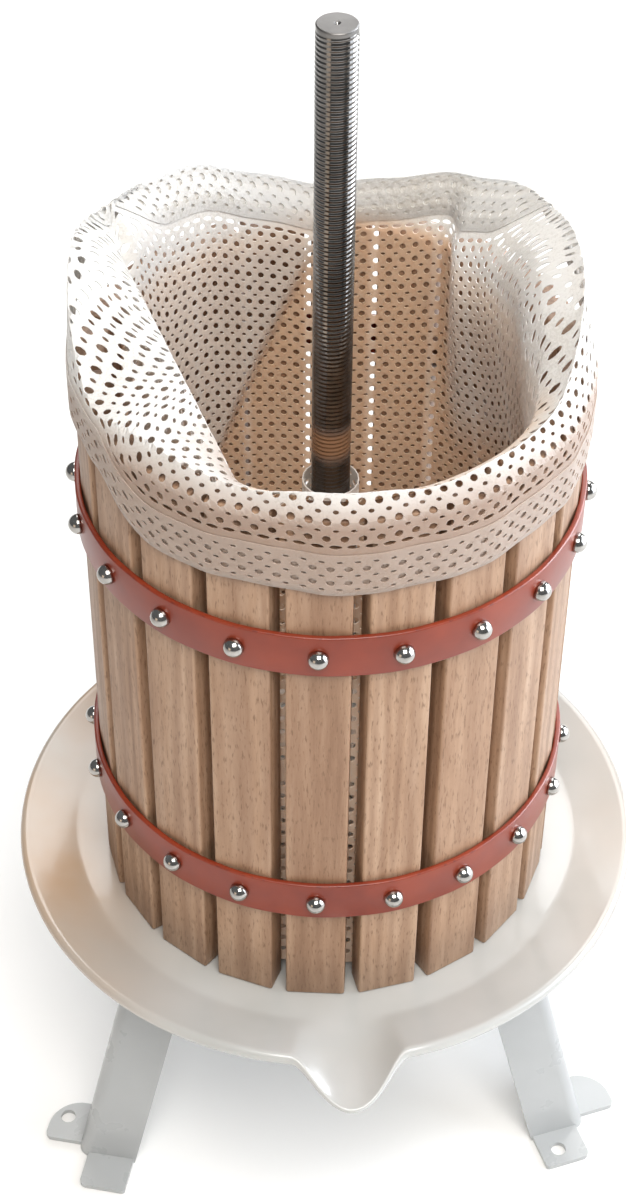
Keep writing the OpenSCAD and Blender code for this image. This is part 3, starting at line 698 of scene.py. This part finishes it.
def hem_lift(turn):
    """How far the hem is drawn up to the crest: not at all in front, fully at the back."""
    return smooth_step((np.abs(turn) - LIFT_FROM)/np.where(turn < 0, LIFT_LEFT, LIFT_RIGHT))


def crest_line(turn):
    """Radius and height of the bag's standing crest, which the slack pulls outwards at the left."""
    radius = FOLD_R + CREST_OUT*plateau(turn, *CREST_SPAN) - HEM_LEAN*hem_lift(turn)
    return radius, STAVE_TOP_Z + fold_rise(turn)


def fold_line(turn):
    """Radius and height of the fold where the net turns down into the basket, and how slack it is there.

    It is the crest itself, but for the slack at the left, where a straight lower edge runs across as a
    chord: its radius is its distance from the axis over the cosine of the angle from its middle."""
    crest_r, crest_z = crest_line(turn)
    aside = np.radians(np.clip(turn - EDGE_TURN, -EDGE_REACH, EDGE_REACH))
    fold_r = np.minimum(crest_r, EDGE_R/np.cos(aside))
    slack = (crest_r - fold_r)/(crest_r - EDGE_R)
    edge_z = STAVE_TOP_Z + EDGE_RISE*np.clip(EDGE_MIDDLE - EDGE_CLIMB*np.tan(aside), 0, 1)
    return fold_r, crest_z + (edge_z - crest_z)*smooth_step(EDGE_SETTLE*slack), slack


def sheet_lengths(turn):
    """Lengths of net from the fold out to the crest and from the crest down to the staves' outer edge.

    Where the fold is the crest, the first is a hair over nothing, so that it can be divided by."""
    hair = 0.01
    crest_r, crest_z = crest_line(turn)
    fold_r, fold_z, _ = fold_line(turn)
    sheet = np.hypot(crest_r - fold_r, crest_z - fold_z) + hair
    return sheet, np.hypot(FLAP_R - crest_r, crest_z - BEND_Z)


def flap_run(turn):
    """Length of net from the hem's edge up to the fold."""
    short = FLAP_SHORT*smooth_step((-turn - SHORT_FROM)/SHORT_OVER)
    hang = FLAP_HANG - short + waves(turn, *FLAP_WAVES)
    sheet, slope = sheet_lengths(turn)
    return (1 - hem_lift(turn))*(sheet + slope + hang)


def net_line(turn, run):
    """Radius and height of the net at a run from its edge: up the flap, over the fold and down the wall.

    Outside, straight lines join the fold to the crest and the crest to the staves' outer edge, and the flap
    hangs plumb below. Inside, a cubic step brings the net from the fold to the wall, slowly where it is
    slack, and a flatter fold hangs inwards at the right. Small waves ruffle the flap and the slack."""
    crest_r, crest_z = crest_line(turn)
    fold_r, fold_z, slack = fold_line(turn)
    sheet, slope = sheet_lengths(turn)
    past = run - flap_run(turn)
    fall = np.hypot(past, FOLD_ROUND) - FOLD_ROUND
    ripple = waves(turn, *RIPPLES)

    level = np.clip(fall/sheet, 0, 1)
    share = np.clip((fall - sheet)/slope, 0, 1)
    plumb = np.maximum(fall - sheet - slope, 0)
    out_r = fold_r + (crest_r - fold_r)*level + (FLAP_R - crest_r + FLAP_RIPPLE*ripple)*share
    out_z = fold_z + (crest_z - fold_z)*level + (BEND_Z - crest_z)*share - plumb
    out_z = out_z + slack*4*level*(1 - level)*(SLACK_RIPPLE*ripple + SLACK_SWELL)

    lean = np.minimum(INNER_LEAN, fold_z - STAVE_TOP_Z + LEAN_LEAST)
    tail = lean + (SLACK_TAIL - lean)*smooth_step((slack - SLACK_FROM)/(1 - SLACK_FROM))
    hang = np.where(fall < DRAPE_DEPTH, np.sin(np.clip(fall/DRAPE_DEPTH, 0, 1)*math.pi/2),
                    1 - smooth_step((fall - DRAPE_DEPTH)/DRAPE_TAIL))
    crease = CREASE_TURN + CREASE_SLANT*(CREASE_Z - (fold_z - fall))
    loose = smooth_step((turn - crease)/CREASE_OVER)*smooth_step((LOOSE_END - turn)/LOOSE_OVER)
    loose = loose*smooth_step(fall/LOOSE_FALL)
    in_r = LINER_R + (fold_r - LINER_R)*(1 - smooth_step(fall/tail)) - LOOSE_IN*loose
    in_r = in_r - hang*plateau(turn, *DRAPE_SPAN)*(DRAPE_RIGHT + DRAPE_RIPPLE*ripple)

    inside = past > 0
    return np.where(inside, in_r, out_r), np.where(inside, fold_z - fall, out_z)


def wall_run(turn):
    """Length of net from the hem's edge to the start of the bag's floor."""
    return flap_run(turn) + fold_line(turn)[1] + FOLD_ROUND - (BAG_FLOOR_Z + BAG_CORNER)


def painted_tint_shares(turn, run, places):
    """Shares of painted tint on the yarn: inside the basket, wood and its warm bounce light seen through
    it; outside on the flap, painted shade with the wood.

    Both fade where the net stands above the staves, and inside also where it hangs clear of them or spans
    one of their gaps, as painted light coming through."""
    radius = np.hypot(places[:, 0], places[:, 1])
    low = smooth_step((STAVE_TOP_Z + SHOW_OVER - places[:, 2])/SHOW_FADE)
    clear = smooth_step((LINER_R - radius)/CLEAR_FADE)
    stave = (turn - BASKET_TURN)*STAVE_COUNT/360
    aside = np.abs(stave - np.floor(stave) - 0.5)*2*math.pi*LINER_R/STAVE_COUNT
    wood = smooth_step((aside - GAP_HALF)/GAP_FADE)
    inside = run > flap_run(turn)
    lining = (SHOW_INSIDE - CLEAR_LOSS*clear)*(1 - GAP_LOSS + GAP_LOSS*wood)
    return low*inside*lining, low*~inside*FLAP_SHADE_SHARE


def net_mesh(columns, rows, big, small, first, closed=0):
    """Grid places and faces of a net with large holes at even crossings and small ones at odd crossings.

    Each square between four crossings keeps what lies outside the octagons round its two holes, cut into
    two pentagons. Columns close round; the first, the last and one closed row have no holes. big, small and
    first are the half widths, in columns and rows, of the large holes, the small ones and those next to the
    first row. The third result is the column of each corner's own crossing."""
    i, j = np.meshgrid(np.arange(columns), np.arange(rows + 1), indexing="ij")
    hole = (i + j) % 2 == 0
    opened = hole & (j > 0) & (j < rows) & (j != closed)
    plain = ~opened
    plain_id = np.cumsum(plain.ravel()).reshape(plain.shape) - 1
    opened_id = plain.sum() + 8*(np.cumsum(opened.ravel()).reshape(opened.shape) - 1)
    step = np.arange(8)
    ids = np.where(opened[..., None], opened_id[..., None] + step, plain_id[..., None])
    half = np.where((j % 2 == 0)[..., None], np.array(big), np.array(small))
    half = np.where((j == 1)[..., None], np.array(first), half)[opened]
    angle = np.radians(45*step)
    ring_u = i[opened][:, None] + half[:, :1]*np.cos(angle)
    ring_v = j[opened][:, None] + half[:, 1:]*np.sin(angle)
    u = np.concatenate([i[plain], ring_u.ravel()])
    v = np.concatenate([j[plain], ring_v.ravel()])
    home = np.concatenate([i[plain], np.repeat(i[opened], 8)])
    a = ids[:, :-1]
    d = ids[:, 1:]
    b = np.roll(a, -1, axis=0)
    c = np.roll(d, -1, axis=0)
    even = hole[:, :-1]
    faces = [np.stack([a[..., 0], b[..., 0], c[..., 6], c[..., 5], a[..., 1]], -1)[even],
             np.stack([a[..., 1], c[..., 5], c[..., 4], d[..., 0], a[..., 2]], -1)[even],
             np.stack([a[..., 0], b[..., 4], b[..., 3], d[..., 7], d[..., 6]], -1)[~even],
             np.stack([b[..., 3], b[..., 2], c[..., 0], d[..., 0], d[..., 7]], -1)[~even]]
    faces = np.concatenate(faces)
    kept = faces != np.roll(faces, -1, axis=1)
    whole = kept.all(axis=1)
    quads = faces[~whole][kept[~whole]].reshape(-1, 4)
    return u, v, home, faces[whole].tolist() + quads.tolist()


def add_net(name, places, faces, material, behind):
    """A net piece: a mesh sheet that a Solidify modifier makes as thick as its yarn.

    behind gives the shares of painted tint: wood and warm bounce light seen through it inside the basket,
    and painted shade with the wood on the flap."""
    piece = add_piece(name, places, faces, material, crease=0)
    for key, share in zip(("inside", "flap"), behind):
        mark(piece, key, share)
    yarn = piece.modifiers.new("yarn thickness", "SOLIDIFY")
    yarn.thickness = NET_T*MM
    yarn.offset = 0
    return piece


# White polyester net: matt off-white yarn that lets some light through, with a fine knitted grain.
def knitted_polyester(name, pale, deep):
    """Polyester yarn: off-white and matt, with a grain drawn at twice the real stitch so that it shows."""
    material, tree, shader = new_material(
        name, Roughness=0.6, Sheen_Weight=0.1, Subsurface_Weight=0.85, Subsurface_Scale=2.0*MM,
        Subsurface_Radius=(1.0, 0.95, 0.9), IOR=1.5)
    place = add_node(tree, "ShaderNodeTexCoord").outputs["Object"]
    stitch = add_node(tree, "ShaderNodeTexNoise", {"Vector": place, "Scale": per_metre(1.2), "Detail": 2.0})
    clouds = add_node(tree, "ShaderNodeTexNoise", {"Vector": place, "Scale": per_metre(45), "Detail": 3.0})
    mixed = add_node(tree, "ShaderNodeMath", {0: stitch.outputs["Fac"], 1: clouds.outputs["Fac"]},
                     operation="ADD")
    tone = add_node(tree, "ShaderNodeValToRGB", {"Fac": mixed.outputs["Value"]},
                    stops=((0.75, linear(deep)), (1.0, linear(pale))))
    yarn = tone.outputs["Color"]
    # painted tints: wood and warm bounce light seen through the yarn inside, painted shade on the flap
    for key, wood in (("inside", INSIDE_WOOD_AND_BOUNCE), ("flap", FLAP_SHADE_AND_WOOD)):
        behind = add_node(tree, "ShaderNodeAttribute", attribute_name=key).outputs["Fac"]
        yarn = add_node(tree, "ShaderNodeMix", {"Factor": behind, "A": yarn, "B": linear(wood)},
                        data_type="RGBA").outputs[2]
    tree.links.new(yarn, shader.inputs["Base Color"])
    bump = add_node(tree, "ShaderNodeBump", {"Height": stitch.outputs["Fac"], "Strength": 0.3,
                    "Distance": 0.2*MM})
    tree.links.new(bump.outputs["Normal"], shader.inputs["Normal"])
    return material


net_white = knitted_polyester("white_polyester_net", "#e0ddd8", "#d2cec8")
half_cell = np.array([CELL_W, CELL_H])/2
net_columns = 2*NET_CELLS
mouth_rows = 48
wall_rows = 32
net_holes = (BIG_HOLE/half_cell, SMALL_HOLE/half_cell)


def direction(column, columns):
    """Direction of a column of net: the first is at the back."""
    return 360*column/columns - 180


def net_stretch(rows, first_row, first_holes):
    """Places, faces and shares of painted tint (wood seen through the yarn inside, shade on the flap) for a
    stretch of the bag's net that begins at a row.

    The rows share out the way from the hem's seam to the floor. The corners of a hole share the way of its
    own crossing, so that it keeps its shape where the way changes fast."""
    u, v, home, faces = net_mesh(net_columns, rows, *net_holes, first_holes)
    turn = direction(u, net_columns)
    way = wall_run(direction(home, net_columns)) - HEM_W
    run = HEM_W + way*(first_row + v)/(mouth_rows + wall_rows)
    places = round_axis(np.radians(turn), *net_line(turn, run))
    return places, faces, painted_tint_shares(turn, run, places)


places, faces, behind = net_stretch(mouth_rows, 0, SEAM_HOLE/half_cell)
mouth = add_net("net_bag_mouth", places, faces, net_white, behind)
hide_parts("bag_flap", "bag_mouth")
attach(mouth, "bag")

places, faces, behind = net_stretch(wall_rows, mouth_rows, net_holes[1])
wall = add_net("net_bag_wall", places, faces, net_white, behind)
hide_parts("bag_wall")
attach(wall, "bag")

# Bag floor: a ring of the same net that lies on the tray. It is gathered towards the spindle, where its
# holes draw together, and sewn to the wall and to the sleeve.
SLEEVE_FOOT_R = 24.6
FLOOR_CELLS = 45
# half widths of its holes, in columns and rows
FLOOR_BIG = (0.46, 0.46)
FLOOR_SMALL = (0.32, 0.32)
FLOOR_GATHER = 1.6
CORNER_RUN = 1.6*BAG_CORNER
# share of painted warm light on the floor net: the wood's warm bounce inside the basket
FLOOR_WARM_LIGHT = 0.3
floor_rows = 20
u, v, _, faces = net_mesh(2*FLOOR_CELLS, floor_rows, FLOOR_BIG, FLOOR_SMALL, FLOOR_SMALL)
gather = 1 - (1 - v/floor_rows)**FLOOR_GATHER
floor_r = LINER_R - (LINER_R - SLEEVE_FOOT_R)*gather
floor_lift = BAG_CORNER*(1 - smooth_step((LINER_R - floor_r)/CORNER_RUN))
places = round_axis(np.radians(direction(u, 2*FLOOR_CELLS)), floor_r, BAG_FLOOR_Z + floor_lift)
floor_net = add_net("net_bag_floor", places, faces, net_white, (FLOOR_WARM_LIGHT, 0))
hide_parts("bag_floor")
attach(floor_net, "bag")

# Hem: the net's edge folded back on itself and stitched, so that two layers lie with their holes apart.
# It hangs round the flap at the front and stands up free along the back.
HEM_ROWS = 12
HEM_FOLD = 2.5
# share of the flap's painted shade and see-through that the hem takes
HEM_SHADE_SHARE = 0.85
# the layers lie half a column apart, and the net's slope is taken over a short run
LAYER_SHIFT = 0.5
SLOPE_RUN = 0.5
hem_white = knitted_polyester("doubled_polyester_hem", "#d3d0cb", "#c5c1ba")
u, v, _, faces = net_mesh(net_columns, HEM_ROWS, *net_holes, net_holes[1], closed=HEM_ROWS//2)
across = (2*v/HEM_ROWS - 1)*HEM_W
layer = np.clip(across/HEM_FOLD, -1, 1)
turn = direction(u + LAYER_SHIFT*layer, net_columns)
run = np.abs(across)
near_r, near_z = net_line(turn, run)
next_r, next_z = net_line(turn, run + SLOPE_RUN)
slope = np.hypot(next_r - near_r, next_z - near_z)
hem_r = near_r + layer*NET_T*(next_z - near_z)/slope
hem_z = near_z - layer*NET_T*(next_r - near_r)/slope
places = round_axis(np.radians(turn), hem_r, hem_z)
inside, flap = painted_tint_shares(turn, run, places)
hem = add_net("net_bag_hem", places, faces, hem_white, (inside, HEM_SHADE_SHARE*flap))
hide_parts("bag_hem")
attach(hem, "bag")

# Sleeve: a tube of net sewn into the bag's floor, on a short cone. It slips over the spindle, keeps the
# fruit off it and opens a little towards its top.
SLEEVE_R = 13.3
SLEEVE_TOP_Z = 452.0
SLEEVE_FLARE = 1.0
SLEEVE_NECK_Z = 194.9
SLEEVE_CONE = 0.05
SLEEVE_CELLS = 12
# half widths of its holes, in columns and rows
SLEEVE_BIG = (0.5, 0.4)
SLEEVE_SMALL = (0.32, 0.26)
# share of painted warm light on the sleeve: the wood's warm bounce inside the basket
SLEEVE_WARM_LIGHT = 0.15
sleeve_rows = 58
u, v, _, faces = net_mesh(2*SLEEVE_CELLS, sleeve_rows, SLEEVE_BIG, SLEEVE_SMALL, SLEEVE_SMALL)
rise = v/sleeve_rows
cone = smooth_step(rise/SLEEVE_CONE)
sleeve_r = SLEEVE_FOOT_R + (SLEEVE_R - SLEEVE_FOOT_R)*cone + SLEEVE_FLARE*rise
sleeve_z = SLEEVE_NECK_Z + (SLEEVE_TOP_Z - SLEEVE_NECK_Z)*rise
places = round_axis(np.radians(direction(u, 2*SLEEVE_CELLS)), sleeve_r, sleeve_z)
sleeve = add_net("net_bag_sleeve", places, faces, hem_white, (SLEEVE_WARM_LIGHT, 0))
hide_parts("bag_sleeve")
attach(sleeve, "bag")

# Studio: a plain pale paper floor, half a millimetre under the feet, and soft light. The light is strongest
# from the upper front and the right, and one light at the right shows only as a highlight. Sizes are in
# metres.
STUDIO_HALF = 4.0
STUDIO_BACK = 6.0
STUDIO_Z = -0.0005
studio_corners = [(-STUDIO_HALF, -STUDIO_HALF, STUDIO_Z), (STUDIO_HALF, -STUDIO_HALF, STUDIO_Z),
                  (STUDIO_HALF, STUDIO_BACK, STUDIO_Z), (-STUDIO_HALF, STUDIO_BACK, STUDIO_Z)]
floor_mesh = bpy.data.meshes.new("studio_floor")
floor_mesh.from_pydata(studio_corners, [], [(0, 1, 2, 3)])
studio_floor = bpy.data.objects.new("studio_floor", floor_mesh)
bpy.context.scene.collection.objects.link(studio_floor)
paper, tree, shader = new_material("pale_paper_sweep", Roughness=0.9)
place = add_node(tree, "ShaderNodeTexCoord").outputs["Object"]
fibres = add_node(tree, "ShaderNodeTexNoise", {"Vector": place, "Scale": per_metre(400)})
tone = add_node(tree, "ShaderNodeValToRGB", {"Fac": fibres.outputs["Fac"]},
                stops=((0.3, linear("#f0efed")), (0.7, linear("#f4f3f1"))))
tree.links.new(tone.outputs["Color"], shader.inputs["Base Color"])
floor_mesh.materials.append(paper)

world = bpy.data.worlds.new("studio_air")
world.use_nodes = True
air = world.node_tree.nodes["Background"]
air.inputs["Color"].default_value = linear("#f0f3f6")
air.inputs["Strength"].default_value = 0.22
bpy.context.scene.world = world


def add_light(name, place, aim, size, power, colour, mirrored_only=False):
    """A square soft light of a size in metres, at a place and aimed at a point.

    A light that is mirrored only shows as a highlight on shiny surfaces and lights nothing else."""
    data = bpy.data.lights.new(name, "AREA")
    data.size = size
    data.energy = power
    data.color = linear(colour)[:3]
    light = bpy.data.objects.new(name, data)
    light.visible_camera = False
    light.visible_diffuse = not mirrored_only
    light.location = place
    away = np.subtract(place, aim)
    flat = math.hypot(away[0], away[1])
    light.rotation_euler = (math.atan2(flat, away[2]), 0, math.atan2(away[0], -away[1]))
    bpy.context.scene.collection.objects.link(light)


add_light("daylight_right", (1.75, 0.0, 0.95), (0, 0, 0.4), size=1.6, power=34, colour="#ecf4ff")
add_light("daylight_back", (0.2, 2.0, 1.9), (0, 0.3, 0.2), size=1.8, power=44, colour="#ffffff")
add_light("front_fill", (0.3, -1.45, 2.85), (0, 0, 0.4), size=1.6, power=92, colour="#fffcf8")
add_light("window_strip", (1.2, 0.45, 0.8), (0, 0, 0.6), size=1.0, power=44, colour="#f2f8ff",
          mirrored_only=True)
add_light("low_fill", (-1.5, -1.7, 0.7), (0, 0, 0.35), size=0.9, power=3, colour="#ffe6cc")

# Camera: looks down on the press from the front, as the photograph was taken. Its place, its angles in
# radians and its focal length in pixels of the photograph were solved from the hoops, their screws and the
# tray's rim.
EYE = np.array([10.8, -936.1, 1236.1])
YAW = -0.0157
PITCH = 0.7483
ROLL = 0.0121
FOCAL_PIXELS = 2389.67
IMAGE_H = 1200
SENSOR = 36.0
forward = np.array([math.sin(YAW)*math.cos(PITCH), math.cos(YAW)*math.cos(PITCH), -math.sin(PITCH)])
level = np.array([math.cos(YAW), -math.sin(YAW), 0])
upward = np.cross(level, forward)
right = level*math.cos(ROLL) + upward*math.sin(ROLL)
above = upward*math.cos(ROLL) - level*math.sin(ROLL)
camera_data = bpy.data.cameras.new("photo_camera")
camera_data.sensor_fit = "VERTICAL"
camera_data.sensor_height = SENSOR
camera_data.lens = SENSOR*FOCAL_PIXELS/IMAGE_H
camera_data.clip_start = 0.05
camera = bpy.data.objects.new("photo_camera", camera_data)
pose = np.eye(4)
pose[:3, :3] = np.stack([right, above, -forward], axis=1)
pose[:3, 3] = EYE*MM
camera.matrix_world = pose.T.tolist()
bpy.context.scene.collection.objects.link(camera)
bpy.context.scene.camera = camera
bpy.context.scene.view_settings.view_transform = "Standard"
